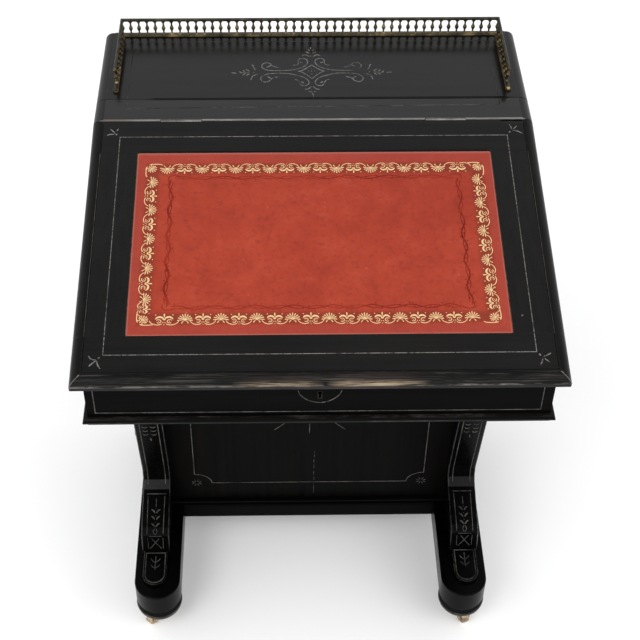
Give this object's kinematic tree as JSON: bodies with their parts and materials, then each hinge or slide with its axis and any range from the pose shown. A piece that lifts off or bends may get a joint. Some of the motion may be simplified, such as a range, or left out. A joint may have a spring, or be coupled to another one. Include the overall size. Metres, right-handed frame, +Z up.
{
  "type": "davenport desk",
  "caption": "Compact sloping-lid writing desk with a hinged stationery flap, a brass gallery and a pedestal of side drawers on sled feet with castors.",
  "frame": {"origin": "on the floor under the centre of the desk's overall box", "axes": "+X to the desk's right as the writer sees it, +Y from the writer to the back, +Z up; the lid slopes down to -Y and the drawers open to +X"},
  "size_m": [0.55, 0.5726, 0.8297],
  "materials": {
    "ebonised_wood": "polished",
    "ebonised_turning": "polished",
    "lining_wood": "oiled",
    "red_leather": "worn",
    "aged_brass": "aged",
    "polished_brass": "worn",
    "dark_iron": "blackened"
  },
  "bodies": {
    "carcass": {"bun_feet": "ebonised_turning", "case_back": "ebonised_wood", "case_bottom": "lining_wood", "case_front": "ebonised_wood", "case_moulding": "ebonised_wood", "case_side_left": "ebonised_wood", "case_side_right": "ebonised_wood", "castor_plates": "polished_brass", "deck_rail": "ebonised_wood", "drawer_runners": "lining_wood", "dummy_drawer_fronts": "ebonised_wood", "dummy_drawer_knobs": "ebonised_turning", "hinge_fixed_leaves_and_pins": "dark_iron", "key_escutcheon": "aged_brass", "letter_rack": "lining_wood", "lock_body": "aged_brass", "pedestal_back_panel": "ebonised_wood", "pedestal_frame_left": "ebonised_wood", "pedestal_frame_right": "ebonised_wood", "pedestal_front_panel": "ebonised_wood", "pedestal_plinth": "ebonised_wood", "sled_left": "ebonised_wood", "sled_right": "ebonised_wood", "stationery_partition": "lining_wood", "support_left": "ebonised_wood", "support_right": "ebonised_wood", "well_drawer_case": "lining_wood"},
    "lid": {"lid_rails": "ebonised_wood", "lid_stiles": "ebonised_wood", "lid_core": "lining_wood", "writing_leather": "red_leather", "lid_strike_plate": "aged_brass", "lid_hinge_leaves": "dark_iron"},
    "flap": {"flap_board": "ebonised_wood", "flap_hinge_leaves": "dark_iron", "gallery_rails": "aged_brass", "gallery_spindles": "aged_brass"},
    "well_drawer_left_body": {"well_drawer_left": "lining_wood"},
    "well_drawer_right_body": {"well_drawer_right": "lining_wood"},
    "lock_bolt_body": {"lock_bolt": "aged_brass"},
    "drawer_bottom": {"drawer_bottom_front": "ebonised_wood", "drawer_bottom_box": "lining_wood", "drawer_bottom_knobs": "ebonised_turning"},
    "drawer_lower": {"drawer_lower_front": "ebonised_wood", "drawer_lower_box": "lining_wood", "drawer_lower_knobs": "ebonised_turning"},
    "drawer_upper": {"drawer_upper_front": "ebonised_wood", "drawer_upper_box": "lining_wood", "drawer_upper_knobs": "ebonised_turning"},
    "drawer_top": {"drawer_top_front": "ebonised_wood", "drawer_top_box": "lining_wood", "drawer_top_knobs": "ebonised_turning"},
    "castor_front_left_horn_body": {"castor_front_left_horn": "polished_brass"},
    "castor_front_left_wheel_body": {"castor_front_left_wheel": "polished_brass"},
    "castor_front_right_horn_body": {"castor_front_right_horn": "polished_brass"},
    "castor_front_right_wheel_body": {"castor_front_right_wheel": "polished_brass"},
    "castor_back_left_horn_body": {"castor_back_left_horn": "polished_brass"},
    "castor_back_left_wheel_body": {"castor_back_left_wheel": "polished_brass"},
    "castor_back_right_horn_body": {"castor_back_right_horn": "polished_brass"},
    "castor_back_right_wheel_body": {"castor_back_right_wheel": "polished_brass"}
  },
  "joints": [
    {"name": "lid_hinge", "type": "hinge", "parent": "carcass", "child": "lid", "pos_m": [0, 0.0885, 0.8011], "axis": [-1, 0, 0], "range_deg": [0, 95]},
    {"name": "flap_hinge", "type": "hinge", "parent": "carcass", "child": "flap", "pos_m": [0, 0.2843, 0.7876], "axis": [-1, 0, 0], "range_deg": [0, 95]},
    {"name": "drawer_bottom_slide", "type": "slide", "parent": "carcass", "child": "drawer_bottom", "axis": [1, 0, 0], "range_m": [0, 0.36]},
    {"name": "drawer_lower_slide", "type": "slide", "parent": "carcass", "child": "drawer_lower", "axis": [1, 0, 0], "range_m": [0, 0.36]},
    {"name": "drawer_upper_slide", "type": "slide", "parent": "carcass", "child": "drawer_upper", "axis": [1, 0, 0], "range_m": [0, 0.36]},
    {"name": "drawer_top_slide", "type": "slide", "parent": "carcass", "child": "drawer_top", "axis": [1, 0, 0], "range_m": [0, 0.36]},
    {"name": "well_drawer_left_slide", "type": "slide", "parent": "carcass", "child": "well_drawer_left_body", "axis": [0, -1, 0], "range_m": [0, 0.09]},
    {"name": "well_drawer_right_slide", "type": "slide", "parent": "carcass", "child": "well_drawer_right_body", "axis": [0, -1, 0], "range_m": [0, 0.09]},
    {"name": "lock_bolt_slide", "type": "slide", "parent": "carcass", "child": "lock_bolt_body", "axis": [0, 0, 1], "range_m": [0, 0.007]},
    {"name": "castor_front_left_swivel", "type": "hinge", "parent": "carcass", "child": "castor_front_left_horn_body", "pos_m": [-0.2317, -0.1131, 0.023], "axis": [0, 0, 1], "continuous": true},
    {"name": "castor_front_left_roll", "type": "hinge", "parent": "castor_front_left_horn_body", "child": "castor_front_left_wheel_body", "pos_m": [-0.24319, -0.12563, 0.01], "axis": [0.7373, -0.6756, 0], "continuous": true},
    {"name": "castor_front_right_swivel", "type": "hinge", "parent": "carcass", "child": "castor_front_right_horn_body", "pos_m": [0.2317, -0.1131, 0.023], "axis": [0, 0, 1], "continuous": true},
    {"name": "castor_front_right_roll", "type": "hinge", "parent": "castor_front_right_horn_body", "child": "castor_front_right_wheel_body", "pos_m": [0.23695, -0.12927, 0.01], "axis": [0.9511, 0.309, 0], "continuous": true},
    {"name": "castor_back_left_swivel", "type": "hinge", "parent": "carcass", "child": "castor_back_left_horn_body", "pos_m": [-0.2317, 0.2464, 0.023], "axis": [0, 0, 1], "continuous": true},
    {"name": "castor_back_left_roll", "type": "hinge", "parent": "castor_back_left_horn_body", "child": "castor_back_left_wheel_body", "pos_m": [-0.24642, 0.2549, 0.01], "axis": [-0.5, -0.866, 0], "continuous": true},
    {"name": "castor_back_right_swivel", "type": "hinge", "parent": "carcass", "child": "castor_back_right_horn_body", "pos_m": [0.2317, 0.2464, 0.023], "axis": [0, 0, 1], "continuous": true},
    {"name": "castor_back_right_roll", "type": "hinge", "parent": "castor_back_right_horn_body", "child": "castor_back_right_wheel_body", "pos_m": [0.24563, 0.25615, 0.01], "axis": [-0.5736, 0.8192, 0], "continuous": true}
  ]
}
